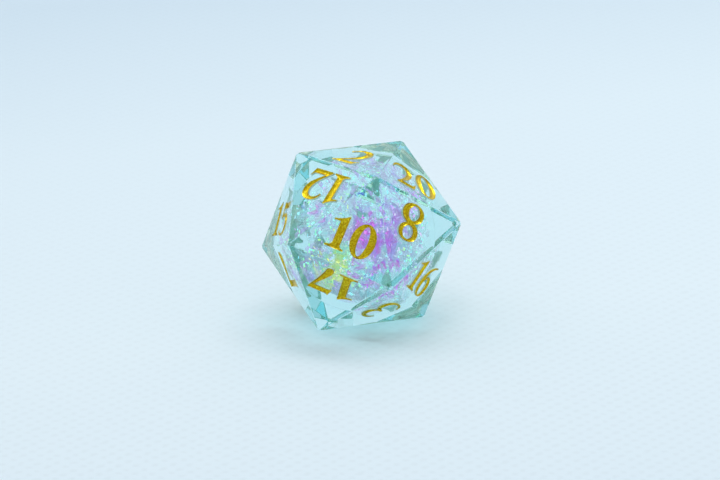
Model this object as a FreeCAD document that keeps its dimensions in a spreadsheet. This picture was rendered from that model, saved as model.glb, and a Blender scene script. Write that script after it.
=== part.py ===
import FreeCAD, Part
import math
import os

from FreeCAD import Placement, Rotation, Vector

# A twenty-sided die of clear cast resin, as a maker casts it in two pours. A ball of resin that holds
# flakes of iridescent film is cast first. It is then cast into a sharp-edged clear shell whose twenty
# faces carry engraved numerals, and each numeral is filled with gold paint.
#
# The die rests on its face 19, on the plane Z = 0, with face 2 level on top. The origin is under the
# die's centre. The edge between faces 19 and 3 runs along X, on the -Y side.

GOLDEN = (1 + math.sqrt(5)) / 2

SIZES = [
    # alias, millimetres, what it is
    ("face_to_face", 20.0, "between two opposite faces of the die"),
    ("edge_flat", 0.12, "width of the polished flat along every edge"),
    ("corner_flat", 0.3, "radius of the polished flat at every corner"),
    ("core_diameter", 15.0, "ball of resin that holds the film"),
    ("engrave_depth", 0.5, "depth of the engraved numerals"),
    ("paint_recess", 0.12, "how far the paint lies below the face"),
    ("one_digit_height", 4.5, "height of the numerals 1 to 9"),
    ("two_digit_height", 4.08, "height of the numerals 10 to 20"),
    ("digit_gap", 0.3, "between the two digits of a numeral"),
    ("numeral_drop", 0.5, "from a face's middle down to its numeral's middle"),
    ("dot_diameter", 0.7, "dot after 6 and 9"),
    ("film_thickness", 0.05, "film flakes"),
    ("large_flake", 2.1, "length of the large flakes"),
    ("medium_flake", 1.5, "length of the medium flakes"),
    ("small_flake", 0.9, "length of the small flakes"),
    ("flake_clearance", 0.1, "least resin between two flakes, and between a flake and the ball's skin"),
]

# ---------------------------------------------------------------------------------------------------
# The icosahedron. Its corners lie in four layers along Z. Each layer is a triangle.


def ring_corner(wide, upper, azimuth):
    """A corner of the icosahedron whose edge is 1, centred on the origin."""
    face_circle = 1 / math.sqrt(3)
    inner_radius = GOLDEN**2 / (2 * math.sqrt(3))
    radius = face_circle * GOLDEN if wide else face_circle
    height = inner_radius - face_circle if wide else inner_radius
    angle = math.radians(azimuth)
    return Vector(radius * math.cos(angle), radius * math.sin(angle), height if upper else -height)


CORNERS = {
    "top_left": ring_corner(False, True, 150),
    "top_right": ring_corner(False, True, 30),
    "top_front": ring_corner(False, True, -90),
    "upper_right": ring_corner(True, True, -30),
    "upper_left": ring_corner(True, True, 210),
    "upper_back": ring_corner(True, True, 90),
    "lower_left": ring_corner(True, False, 150),
    "lower_right": ring_corner(True, False, 30),
    "lower_front": ring_corner(True, False, -90),
    "bottom_right": ring_corner(False, False, -30),
    "bottom_left": ring_corner(False, False, 210),
    "bottom_back": ring_corner(False, False, 90),
}

# Ten faces, as numeral: (the corner that the numeral's head points to, the other two corners).
# The numeral opposite is 21 less it, and its head points to the corner opposite.
HALF_THE_FACES = {
    2: ("top_right", "top_left", "top_front"),
    3: ("bottom_left", "bottom_right", "lower_front"),
    7: ("bottom_left", "upper_left", "lower_left"),
    8: ("lower_front", "top_front", "upper_right"),
    10: ("top_front", "upper_left", "lower_front"),
    12: ("upper_left", "top_left", "top_front"),
    15: ("top_left", "lower_left", "upper_left"),
    16: ("upper_right", "lower_front", "bottom_right"),
    17: ("bottom_left", "upper_left", "lower_front"),
    20: ("top_right", "top_front", "upper_right"),
}


def all_faces():
    """Each numeral with its three corners, head corner first."""
    faces = {}
    for numeral, names in HALF_THE_FACES.items():
        corners = [CORNERS[name] for name in names]
        faces[numeral] = corners
        faces[21 - numeral] = [-corner for corner in corners]
    return dict(sorted(faces.items()))


def edge_middles():
    """The middle of one edge of each opposite pair: fifteen in all."""
    corners = list(CORNERS.values())
    middles = []
    for i, first in enumerate(corners):
        for second in corners[i + 1 :]:
            is_edge = abs((first - second).Length - 1) < 1e-6
            middle = (first + second) / 2
            if is_edge and all((middle + other).Length > 1e-6 for other in middles):
                middles.append(middle)
    return middles


# ---------------------------------------------------------------------------------------------------
# The digits: a bold upright face with serifs, drawn 100 units high from the baseline. A contour is its
# first point, then one entry for each stretch: (x, y) is a straight line to that point, and six
# numbers are a cubic curve, as two handles and its end.

DIGIT_HEIGHT = 100
SIX_WIDTH = 72


def oval(x, y, half_width, half_height, flank=0.55, crown=0.55):
    """A closed oval. flank and crown set how full its sides and its top and bottom are."""
    right, top = x + half_width, y + half_height
    left, bottom = x - half_width, y - half_height
    dx, dy = half_width * crown, half_height * flank
    return [
        (right, y),
        (right, y + dy, x + dx, top, x, top),
        (x - dx, top, left, y + dy, left, y),
        (left, y - dy, x - dx, bottom, x, bottom),
        (x + dx, bottom, right, y - dy, right, y),
    ]


def half_turn(contour, width, height):
    """The contour turned upside down about the middle of its digit."""
    turned = []
    for entry in contour:
        pairs = zip(entry[0::2], entry[1::2])
        turned.append(tuple(v for x, y in pairs for v in (width - x, height - y)))
    return turned


SIX = [
    [
        (66, 102),
        (28, 97, 0, 71, 0, 36),
        (0, 12, 14, -2, 36, -2),
        (58, -2, 72, 11, 72, 32),
        (72, 52, 60, 64, 43, 64),
        (36, 64, 30, 62, 25, 58),
        (30, 79, 46, 93, 67, 97.5),
        (66, 102),
    ],
    oval(36.5, 29, 14.5, 26, crown=0.5),
]

# digit: (width, contours)
DIGITS = {
    "0": (74, [oval(37, 50, 37, 52), oval(36.5, 50, 14.5, 45, flank=0.58, crown=0.48)]),
    "1": (
        57,
        [
            [
                (0, 0),
                (57, 0),
                (57, 5),
                (47, 6, 43.5, 9, 43.5, 17),
                (43.5, 101),
                (39, 101),
                (30, 93, 15, 86, 1, 83),
                (0, 78),
                (8, 79.5, 14, 80.5, 19.5, 79.5),
                (19.5, 17),
                (19.5, 9, 11, 6, 0, 5),
                (0, 0),
            ]
        ],
    ),
    "2": (
        77,
        [
            [
                (0, 0),
                (67, 0),
                (77, 25),
                (73, 24.5),
                (70, 18.5, 66, 15, 58, 15),
                (24, 15),
                (46, 31, 71.5, 48, 71.5, 71),
                (71.5, 90, 59, 102, 41, 102),
                (21, 102, 6, 92, 1, 76),
                (6, 74),
                (10, 84, 19, 90, 30, 90),
                (43, 90, 50.5, 82, 50.5, 69),
                (50.5, 46, 24, 24, 0, 4),
                (0, 0),
            ]
        ],
    ),
    "3": (
        73,
        [
            [
                (5, 80),
                (11, 94, 22, 102, 38, 102),
                (56, 102, 67, 93, 67, 79),
                (67, 68, 59, 60, 47, 56.5),
                (63, 53, 73, 43, 73, 28),
                (73, 9, 56, -2, 32, -2),
                (15, -2, 4, 4, 0, 15),
                (5, 18),
                (10, 9, 18, 5.5, 29, 5.5),
                (44, 5.5, 52, 14, 52, 28),
                (52, 43, 42, 50, 24, 49),
                (24, 55),
                (39, 56, 46.5, 64, 46.5, 77),
                (46.5, 87, 40, 92.5, 31, 92.5),
                (22, 92.5, 15, 88, 10, 77.5),
                (5, 80),
            ]
        ],
    ),
    "4": (
        82,
        [
            [
                (37, 0),
                (79, 0),
                (79, 5),
                (71, 6, 68, 8, 68, 14),
                (68, 24),
                (82, 24),
                (82, 37),
                (68, 37),
                (68, 101),
                (57, 101),
                (0, 35),
                (0, 24),
                (46, 24),
                (46, 14),
                (46, 8, 43, 6, 37, 5),
                (37, 0),
            ],
            [(46, 37), (46, 80), (9, 37), (46, 37)],
        ],
    ),
    "5": (
        73,
        [
            [
                (11, 99),
                (29, 95, 49, 95, 68, 102),
                (63, 82),
                (50, 78, 34, 78, 19.5, 80),
                (17, 60),
                (23, 64, 31, 66, 39, 66),
                (60, 66, 73, 53, 73, 33),
                (73, 11, 56, -2, 32, -2),
                (15, -2, 4, 4, 0, 14),
                (5, 17.5),
                (10, 9, 18, 5.5, 29, 5.5),
                (44, 5.5, 52, 14, 52, 30),
                (52, 46, 44, 55.5, 30, 55.5),
                (23, 55.5, 17, 53.5, 12, 49.5),
                (7, 52),
                (11, 99),
            ]
        ],
    ),
    "6": (SIX_WIDTH, SIX),
    "7": (
        73,
        [
            [
                (9, 103),
                (12, 98.5, 14, 98, 20, 98),
                (73, 98),
                (70, 91),
                (56, 62, 40, 32, 35, 9),
                (33, -1, 28, -5, 21, -5),
                (12, -5, 8, 3, 11, 11),
                (20, 34, 42, 58, 54, 79),
                (16, 79),
                (9, 79, 7, 78, 4, 75),
                (0, 77),
                (9, 103),
            ]
        ],
    ),
    "8": (
        71,
        [
            [
                (34, 101),
                (54, 101, 66, 91, 66, 77),
                (66, 65, 58, 57, 47, 53),
                (62, 47, 71, 38, 71, 25),
                (71, 9, 56, -2, 35, -2),
                (14, -2, 0, 9, 0, 24),
                (0, 36, 9, 45, 22, 50),
                (9, 56, 3, 65, 3, 75),
                (3, 91, 15, 101, 34, 101),
            ],
            oval(35.5, 77, 16.5, 18.5),
            oval(32.5, 23.5, 17.5, 20),
        ],
    ),
    "9": (SIX_WIDTH, [half_turn(contour, SIX_WIDTH, DIGIT_HEIGHT) for contour in SIX]),
}


def contour_wire(contour, scale, corner):
    """The contour as a wire in the XY plane. The digit's lower left corner is at corner."""
    edges = []
    start = None
    for entry in contour:
        points = [corner + Vector(x, y, 0) * scale for x, y in zip(entry[0::2], entry[1::2])]
        if start is None:
            start = points[0]
            continue
        if len(points) == 1:
            edges.append(Part.LineSegment(start, points[0]).toShape())
        else:
            curve = Part.BezierCurve()
            curve.setPoles([start, *points])
            edges.append(curve.toShape())
        start = points[-1]
    return Part.Wire(edges)


# ---------------------------------------------------------------------------------------------------
# The document and its sheet of sizes


doc = FreeCAD.newDocument("polyhedral_die")
sheet = doc.addObject("Spreadsheet::Sheet", "Sizes")
for row, (alias, value, meaning) in enumerate(SIZES, start=1):
    sheet.set(f"A{row}", alias)
    sheet.set(f"B{row}", str(value))
    sheet.set(f"C{row}", meaning)
    sheet.setAlias(f"B{row}", alias)
doc.recompute()


def size(alias):
    return float(sheet.get(alias))


def subpart(obj, label):
    """Names a finished piece and lifts it so that the die stands on Z = 0."""
    obj.Label = label
    obj.setExpression("Placement.Base.z", "Sizes.face_to_face / 2")
    return obj


# ---------------------------------------------------------------------------------------------------
# The blank: the space between pairs of parallel planes, which are the faces, then the polished flats
# that take off the edges and the corners


def slab(name, direction, thickness):
    """The space between two parallel planes across the die's centre, as a wide disc."""
    disc = doc.addObject("Part::Cylinder", name)
    disc.setExpression("Radius", "Sizes.face_to_face")
    disc.setExpression("Height", thickness)
    disc.Placement.Rotation = Rotation(Vector(0, 0, 1), direction)
    for axis in "xyz":
        disc.setExpression(f"Placement.Base.{axis}", f"-({thickness}) / 2 * {getattr(direction, axis):.12f}")
    return disc


faces = all_faces()
inner_radius = GOLDEN**2 / (2 * math.sqrt(3))
edge_lean = math.atan(1 / (2 * math.sqrt(3) * inner_radius))  # between a face's normal and an edge's
corner_spread = GOLDEN  # how fast a cut across a corner widens with its depth

slabs = []
for numeral in HALF_THE_FACES:
    outward = (faces[numeral][0] + faces[numeral][1] + faces[numeral][2]).normalize()
    slabs.append(slab(f"face_{numeral:02d}", outward, "Sizes.face_to_face"))

for number, middle in enumerate(edge_middles(), start=1):
    across = f"Sizes.face_to_face * {middle.Length / inner_radius:.12f}"
    cut = f"Sizes.edge_flat * {math.tan(edge_lean):.12f}"
    slabs.append(slab(f"edge_{number:02d}", Vector(middle).normalize(), f"{across} - {cut}"))

for name in list(CORNERS)[:6]:
    corner = CORNERS[name]
    across = f"Sizes.face_to_face * {corner.Length / inner_radius:.12f}"
    cut = f"2 * Sizes.corner_flat / {corner_spread:.12f}"
    slabs.append(slab(f"corner_{name}", Vector(corner).normalize(), f"{across} - {cut}"))

blank = doc.addObject("Part::MultiCommon", "blank")
blank.Shapes = slabs

# ---------------------------------------------------------------------------------------------------
# The numerals: one outline on each face, cut in as a pocket and filled with paint


# The master's numerals were set by eye. These sit off their place by so much: right, up.
SET_BY_EYE = {
    2: (-0.2, 0.1),
    3: (0.5, 0),
    7: (0.4, 0),
    8: (0.3, -0.25),
    10: (0.05, 0.4),
    12: (-0.05, -0.15),
    15: (0.3, 0),
    16: (-0.5, 0.1),
    17: (0.2, -0.15),
    20: (0.05, 0.3),
}


def numeral_outline(numeral):
    """The numeral's outline as flat faces, centred on X = 0 and a little below Y = 0."""
    digits = str(numeral)
    height = size("one_digit_height") if len(digits) == 1 else size("two_digit_height")
    gap = size("digit_gap")
    scale = height / DIGIT_HEIGHT
    width = sum(DIGITS[digit][0] for digit in digits) * scale + gap * (len(digits) - 1)
    right, up = SET_BY_EYE.get(numeral, (0, 0))
    pen = Vector(right - width / 2, up - size("numeral_drop") - height / 2, 0)
    wires = []
    for digit in digits:
        digit_width, contours = DIGITS[digit]
        wires += [contour_wire(contour, scale, pen) for contour in contours]
        pen += Vector(digit_width * scale + gap, 0, 0)
    if digits in "69":
        radius = size("dot_diameter") / 2
        wires.append(Part.Wire(Part.makeCircle(radius, pen + Vector(radius, radius, 0))))
    return Part.makeFace(wires, "Part::FaceMakerBullseye")


def face_placement(corners):
    """A frame in the middle of a face: Y towards the numeral's head, Z out of the die."""
    edge = size("face_to_face") / (2 * inner_radius)
    middle = (corners[0] + corners[1] + corners[2]) / 3
    outward = Vector(middle).normalize()
    head = (corners[0] - middle).normalize()
    turn = Rotation(head.cross(outward), head, outward, "ZXY")
    return Placement(middle * edge, turn), outward


def sunk_numeral(outline, outward, name):
    """The outline carried straight down into the face, to the depth of the engraving."""
    prism = doc.addObject("Part::Extrusion", name)
    prism.Base = outline
    prism.DirMode = "Custom"
    prism.Dir = -outward
    prism.Solid = True
    prism.setExpression("LengthFwd", "Sizes.engrave_depth")
    return prism


pockets = []
paints = []
for numeral, corners in faces.items():
    placement, outward = face_placement(corners)
    outline = doc.addObject("Part::Feature", f"outline_{numeral:02d}")
    outline.Shape = numeral_outline(numeral)
    outline.Placement = placement
    pockets.append(sunk_numeral(outline, outward, f"pocket_{numeral:02d}"))
    paint = sunk_numeral(outline, outward, f"paint_{numeral:02d}")
    paint.setExpression("LengthRev", "-Sizes.paint_recess")
    paints.append(subpart(paint, f"numeral_{numeral:02d}_paint"))

# ---------------------------------------------------------------------------------------------------
# The film flakes: thin shards, each in its own cell of a body-centred lattice that fills the ball.
# The cell is as large as the largest flake needs, however it is turned.

SHARDS = [
    # outlines of a flake 1 long, about its middle
    [(-0.50, -0.12), (-0.22, -0.30), (0.44, -0.20), (0.36, 0.24), (-0.16, 0.34)],
    [(-0.48, 0.05), (-0.05, -0.26), (0.49, -0.08), (0.14, 0.22)],
    [(-0.46, -0.20), (0.30, -0.34), (0.45, 0.12), (-0.10, 0.30)],
    [(-0.49, -0.06), (0.48, -0.12), (0.08, 0.20)],
]
GRADES = ("large_flake", "medium_flake", "small_flake")
GOLDEN_ANGLE = 180 * (3 - math.sqrt(5))


def lattice_points():
    """The middles of the lattice's cells that lie whole within the ball."""
    reach = size("large_flake") / 2 + size("film_thickness") + size("flake_clearance")
    step = 2 * reach * 2 / math.sqrt(3)  # a cell's nearest neighbour is sqrt(3) / 2 of a step away
    limit = size("core_diameter") / 2 - reach
    count = int(limit / step) + 1
    points = []
    for i in range(-count, count + 1):
        for j in range(-count, count + 1):
            for k in range(-count, count + 1):
                for offset in (0, 0.5):
                    point = Vector(i + offset, j + offset, k + offset) * step
                    if point.Length <= limit:
                        points.append(point)
    return points


def flake(number, point, length):
    """One shard of film, turned its own way."""
    shard = [Vector(x * length, y * length, 0) for x, y in SHARDS[number % len(SHARDS)]]
    plate = Part.Face(Part.makePolygon([*shard, shard[0]])).extrude(Vector(0, 0, size("film_thickness")))
    spin = Rotation(Vector(0, 0, 1), number * GOLDEN_ANGLE)
    tilt = Rotation(Vector(1, 0, 0), number * GOLDEN_ANGLE / GOLDEN)
    heading = Rotation(Vector(0, 0, 1), number * GOLDEN_ANGLE / GOLDEN**2)
    plate.Placement = Placement(point, heading * tilt * spin)
    return plate


flakes = {grade: [] for grade in GRADES}
for number, point in enumerate(lattice_points()):
    grade = GRADES[number % len(GRADES)]
    flakes[grade].append(flake(number, point, size(grade)))

films = []
for grade, shards in flakes.items():
    film = doc.addObject("Part::Feature", f"film_{grade}")
    film.Shape = Part.makeCompound(shards)
    films.append(subpart(film, f"film_{grade}s"))

# ---------------------------------------------------------------------------------------------------
# The two pours of resin

hollow = doc.addObject("Part::Sphere", "hollow")
hollow.setExpression("Radius", "Sizes.core_diameter / 2")

flake_cells = doc.addObject("Part::Feature", "flake_cells")
flake_cells.Shape = Part.makeCompound([shard for shards in flakes.values() for shard in shards])
ball = doc.addObject("Part::Cut", "ball")
ball.Base = hollow
ball.Tool = flake_cells
core = subpart(ball, "resin_core")

cuts = doc.addObject("Part::Compound", "cuts")
cuts.Links = [hollow, *pockets]
casting = doc.addObject("Part::Cut", "casting")
casting.Base = blank
casting.Tool = cuts
shell = subpart(casting, "resin_shell")

# ---------------------------------------------------------------------------------------------------
# Recompute, check and write

doc.recompute()
for obj in doc.Objects:
    if "Invalid" in obj.State or "Error" in obj.State:
        raise RuntimeError(f"{obj.Name} failed: {obj.State}")

os.makedirs("parts", exist_ok=True)
for obj in [shell, core, *films, *paints]:
    shape = obj.Shape
    if shape.isNull() or not shape.isValid() or not shape.Solids:
        raise RuntimeError(f"{obj.Label} has no valid solid")
    shape.exportStep(f"parts/{obj.Label}.step")
    print(f"{obj.Label}: {len(shape.Solids)} solid(s), {shape.Volume:.3f} mm3")
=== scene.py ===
# %% [markdown]
# # A twenty-sided die of clear resin with film flakes and gold numerals
#
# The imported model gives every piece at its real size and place. This lesson gives the pieces their
# looks: a clear casting with sharp polished edges, a ball of crinkled iridescent film inside it, and
# gold paint that has dried in the engraved numerals as shallow troughs.

import math

import bmesh
import bpy
import numpy as np
from mathutils import Matrix, Vector
from mathutils.geometry import delaunay_2d_cdt


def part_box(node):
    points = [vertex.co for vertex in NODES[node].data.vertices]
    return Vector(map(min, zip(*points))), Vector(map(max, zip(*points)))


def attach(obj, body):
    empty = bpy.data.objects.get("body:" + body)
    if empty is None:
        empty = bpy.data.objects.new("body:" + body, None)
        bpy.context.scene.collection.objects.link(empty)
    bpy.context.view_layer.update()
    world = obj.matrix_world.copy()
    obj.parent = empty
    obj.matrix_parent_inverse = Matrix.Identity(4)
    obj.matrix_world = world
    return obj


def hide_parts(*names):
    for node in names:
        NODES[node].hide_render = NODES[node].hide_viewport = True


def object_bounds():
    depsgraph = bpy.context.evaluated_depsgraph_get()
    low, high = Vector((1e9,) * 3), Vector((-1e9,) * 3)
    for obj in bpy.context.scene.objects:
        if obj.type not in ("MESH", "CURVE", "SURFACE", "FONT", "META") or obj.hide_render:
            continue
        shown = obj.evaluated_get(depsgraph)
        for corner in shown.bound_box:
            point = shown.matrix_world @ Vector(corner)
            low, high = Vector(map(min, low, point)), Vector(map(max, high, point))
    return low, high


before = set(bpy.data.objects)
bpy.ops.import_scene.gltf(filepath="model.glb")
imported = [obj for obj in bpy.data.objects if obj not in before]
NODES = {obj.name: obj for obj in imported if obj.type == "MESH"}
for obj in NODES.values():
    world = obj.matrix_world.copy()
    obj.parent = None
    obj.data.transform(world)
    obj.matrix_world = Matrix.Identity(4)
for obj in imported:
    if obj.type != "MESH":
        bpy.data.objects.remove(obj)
cad_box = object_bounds()
print("CAD box", [[round(v * 1000, 2) for v in corner] for corner in cad_box])

# %% [markdown]
# ## Sizes that everything else hangs on
#
# The die stands on one face with the opposite face level on top, so its height is the distance between
# two faces. Every other size of a regular icosahedron follows from that one.

# %% The die's own sizes
MM = 0.001
GOLDEN = (1 + math.sqrt(5)) / 2
low, high = Vector(cad_box[0]), Vector(cad_box[1])
CENTRE = (low + high) / 2
INNER_RADIUS = (high.z - low.z) / 2
CORNER_RADIUS = INNER_RADIUS * math.sqrt(3) * math.sqrt(1 + GOLDEN**2) / GOLDEN**2
core_low, core_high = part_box("resin_core")
CORE_RADIUS = (core_high.z - core_low.z) / 2
print(f"corner radius {CORNER_RADIUS / MM:.2f} mm, core radius {CORE_RADIUS / MM:.2f} mm")

# %% [markdown]
# ## Helpers for materials
#
# Colours are easier to think of as a painter mixes them, from 0 to 255, and Blender wants them linear.
# A material here starts as an empty node tree, and one small function makes and wires each node.


# %% Colour and node helpers
def mixed(red, green, blue, alpha=1.0):
    """A colour from 0-255 values, made linear."""
    def linear(value):
        value /= 255
        return value / 12.92 if value <= 0.04045 else ((value + 0.055) / 1.055) ** 2.4

    return (linear(red), linear(green), linear(blue), alpha)


def add(tree, kind, settings=None, **inputs):
    """A node, with its settings, and its inputs as values or as other nodes' sockets.

    Base_Color= is the input called Base Color, and _6= is the input with the number 6.
    """
    node = tree.nodes.new(kind)
    for name, value in (settings or {}).items():
        setattr(node, name, value)
    for name, value in inputs.items():
        socket = node.inputs[int(name[1:])] if name[1:].isdigit() else node.inputs[name.replace("_", " ")]
        if isinstance(value, bpy.types.NodeSocket):
            tree.links.new(value, socket)
        else:
            socket.default_value = value
    return node


def empty_material(name):
    """A material with only an output node. Returns the material, its tree and the output."""
    material = bpy.data.materials.new(name)
    material.use_nodes = True
    tree = material.node_tree
    tree.nodes.clear()
    return material, tree, tree.nodes.new("ShaderNodeOutputMaterial")


def ramp(tree, factor, stops):
    """A colour ramp with (place, colour) stops."""
    node = add(tree, "ShaderNodeValToRGB", Fac=factor)
    elements = node.color_ramp.elements
    while len(elements) < len(stops):
        elements.new(0.5)
    for element, (place, colour) in zip(elements, stops):
        element.position, element.color = place, colour
    return node


# %% [markdown]
# ## A shared effect: handling wear
#
# A die is rolled and picked up, so its gloss is never even: there are faint smears, and a few fine
# scratches. Resin and gold paint both have this, so it is one node group. It gives out a roughness
# and a height, which change over the surface, and each material brings its own strengths.


# %% Build the handling wear group
def handling_wear():
    group = bpy.data.node_groups.new("handling_wear", "ShaderNodeTree")
    face = group.interface
    for name, value in (("Gloss", 0.05), ("Smear", 0.05), ("Smear Scale", 300.0), ("Scratch", 0.2)):
        face.new_socket(name=name, in_out="INPUT", socket_type="NodeSocketFloat").default_value = value
    face.new_socket(name="Roughness", in_out="OUTPUT", socket_type="NodeSocketFloat")
    face.new_socket(name="Height", in_out="OUTPUT", socket_type="NodeSocketFloat")
    given = group.nodes.new("NodeGroupInput")
    place = add(group, "ShaderNodeTexCoord")
    smear = add(group, "ShaderNodeTexNoise", Vector=place.outputs["Object"],
                Scale=given.outputs["Smear Scale"], Detail=3.0)
    rub = add(group, "ShaderNodeMapRange", Value=smear.outputs["Fac"], From_Min=0.45, From_Max=0.75)
    dull = add(group, "ShaderNodeMath", {"operation": "MULTIPLY_ADD"},
               _0=rub.outputs["Result"], _1=given.outputs["Smear"], _2=given.outputs["Gloss"])
    stretched = add(group, "ShaderNodeMapping", Vector=place.outputs["Object"])
    stretched.inputs["Scale"].default_value = (1.0, 14.0, 5.0)
    stretched.inputs["Rotation"].default_value = (0.6, 0.3, 0.9)
    lines = add(group, "ShaderNodeTexNoise", Vector=stretched.outputs["Vector"], Scale=260.0, Detail=2.0)
    thin = add(group, "ShaderNodeMapRange", Value=lines.outputs["Fac"], From_Min=0.62, From_Max=0.72)
    height = add(group, "ShaderNodeMath", {"operation": "MULTIPLY"},
                 _0=thin.outputs["Result"], _1=given.outputs["Scratch"])
    out = group.nodes.new("NodeGroupOutput")
    group.links.new(dull.outputs[0], out.inputs["Roughness"])
    group.links.new(height.outputs[0], out.inputs["Height"])
    return group


WEAR = handling_wear()
print("node group", WEAR.name, "with", len(WEAR.nodes), "nodes")

# %% [markdown]
# ## Clear resin
#
# Clear casting resin bends light like glass. It is not quite colourless: over a couple of centimetres
# it takes some red away, so that thick places and inner reflections look aqua. That is a volume
# absorption. Lamps would hardly reach what is inside, because a path that ends at a lamp cannot bend.
# So shadow rays and diffuse rays go straight through the surface, and lose a little colour on their way
# in, which stands for what the resin would have taken. The table under the die gets its pale aqua
# shadow that way.


# %% The resin material
WAY_IN_LOSS = (0.81, 0.89, 0.885, 1)  # what a straight ray keeps of red, green and blue
CASTING_BEND, BALL_BEND = 1.45, 1.006  # the ball's is against the casting round it, not against air
AQUA, AQUA_DENSITY = (0.20, 0.86, 0.90, 1), 37.0


def clear_resin(name, refraction, tint=None, tint_strength=0.0):
    material, tree, out = empty_material(name)
    wear = add(tree, "ShaderNodeGroup", {"node_tree": WEAR}, Gloss=0.012, Smear=0.02)
    bump = add(tree, "ShaderNodeBump", Height=wear.outputs["Height"], Strength=0.15, Distance=0.00002)
    body = add(tree, "ShaderNodeBsdfPrincipled", Roughness=wear.outputs["Roughness"], IOR=refraction,
               Normal=bump.outputs["Normal"])
    body.inputs["Base Color"].default_value = (1, 1, 1, 1)
    body.inputs["Transmission Weight"].default_value = 1.0
    path = add(tree, "ShaderNodeLightPath")
    side = add(tree, "ShaderNodeNewGeometry")
    loss = add(tree, "ShaderNodeMix", {"data_type": "RGBA"}, _0=side.outputs["Backfacing"])
    loss.inputs[6].default_value = WAY_IN_LOSS if tint else (1, 1, 1, 1)
    loss.inputs[7].default_value = (1, 1, 1, 1)
    through = add(tree, "ShaderNodeBsdfTransparent", Color=loss.outputs[2])
    soft = add(tree, "ShaderNodeMath", {"operation": "MAXIMUM"}, _0=path.outputs["Is Shadow Ray"],
               _1=path.outputs["Is Diffuse Ray"])
    mix = add(tree, "ShaderNodeMixShader", _0=soft.outputs[0], _1=body.outputs[0], _2=through.outputs[0])
    tree.links.new(mix.outputs[0], out.inputs["Surface"])
    if tint:
        absorb = add(tree, "ShaderNodeVolumeAbsorption", Color=tint, Density=tint_strength)
        tree.links.new(absorb.outputs[0], out.inputs["Volume"])
    return material


SHELL_RESIN = clear_resin("clear_resin", CASTING_BEND, AQUA, AQUA_DENSITY)
CORE_RESIN = clear_resin("core_resin", BALL_BEND)
print("resins:", SHELL_RESIN.name, CASTING_BEND, "and", CORE_RESIN.name, BALL_BEND)

# %% [markdown]
# ## Flat outlines
#
# The casting and the paint both start from flat outlines in the CAD model: a face of the die with its
# numeral cut out, and the top of the paint in it. Both need tidier triangles than the CAD mesh has. A
# slim triangle from a corner to a numeral is a hair out of true, and clear resin shows that as a
# streak. So an outline is read from the mesh and filled again, with a grid of points and a Delaunay
# triangulation that keeps the outline's edges.


# %% Read a flat outline, and fill it again
def merged(node):
    """A bmesh of a CAD node, with its loose triangles joined up."""
    mesh = bmesh.new()
    mesh.from_mesh(NODES[node].data)
    bmesh.ops.remove_doubles(mesh, verts=mesh.verts, dist=0.0005 * MM)
    mesh.normal_update()
    return mesh


def outline_of(top, outward, origin):
    """The edge of a flat patch of faces: its corners, their places in the patch's plane, and its edges."""
    across = outward.orthogonal().normalized()
    along = outward.cross(across)
    rim = [e for f in top for e in f.edges if sum(g in top for g in e.link_faces) == 1]
    corners, pairs = {}, []
    for edge in rim:
        pairs.append(tuple(corners.setdefault(v, len(corners)) for v in edge.verts))
    flat = np.array([((v.co - origin).dot(across), (v.co - origin).dot(along)) for v in corners])
    return list(corners), flat, pairs, across, along


def distance_to_outline(points, outline, edges):
    """The distance of each point from the nearest edge of the outline."""
    nearest = np.full(len(points), np.inf)
    for a, b in edges:
        start, side = outline[a], outline[b] - outline[a]
        share = np.clip(((points - start) @ side) / max(side @ side, 1e-18), 0, 1)
        gap = np.linalg.norm(points - start - share[:, None] * side, axis=1)
        nearest = np.minimum(nearest, gap)
    return nearest


def is_inside(points, outline, edges):
    """True for each point from which a level line crosses the outline an odd number of times."""
    odd = np.zeros(len(points), bool)
    for a, b in edges:
        (ax, ay), (bx, by) = outline[a], outline[b]
        crosses = (ay > points[:, 1]) != (by > points[:, 1])
        if by != ay:
            odd ^= crosses & (points[:, 0] < ax + (points[:, 1] - ay) * (bx - ax) / (by - ay))
    return odd


def filled(outline, edges, step):
    """Fills an outline, holes and all, with even triangles on a grid. Returns points and triangles."""
    (left, low_edge), (right_edge, high_edge) = outline.min(0), outline.max(0)
    row_step = step * math.sqrt(3) / 2
    grid = np.array([(left + (column + 0.5 * (row % 2)) * step, low_edge + row * row_step)
                     for row in range(int((high_edge - low_edge) / row_step) + 1)
                     for column in range(int((right_edge - left) / step) + 2)])
    grid = grid[is_inside(grid, outline, edges) & (distance_to_outline(grid, outline, edges) > step * 0.45)]
    points = [Vector(p) for p in np.vstack([outline, grid])]
    points, _, triangles, *_ = delaunay_2d_cdt(points, edges, [], 0, 1e-9)
    points = np.array([tuple(p) for p in points])
    middles = np.array([points[triangle].mean(0) for triangle in triangles])
    kept = is_inside(middles, outline, edges)
    return points, [triangle for triangle, keep in zip(triangles, kept) if keep]


# %% [markdown]
# ## The clear casting
#
# The casting is the CAD shell with its hollow filled: in the real die the inner ball fills it, and the
# two resins have the same bend, so no inner skin should show as air. The shell's mesh comes as loose
# triangles, so a copy is merged first, then the hollow's skin is deleted, and then each of the twenty
# faces is pulled true and filled again.


# %% Make the casting
FACE_GRID = 1.0 * MM


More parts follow.
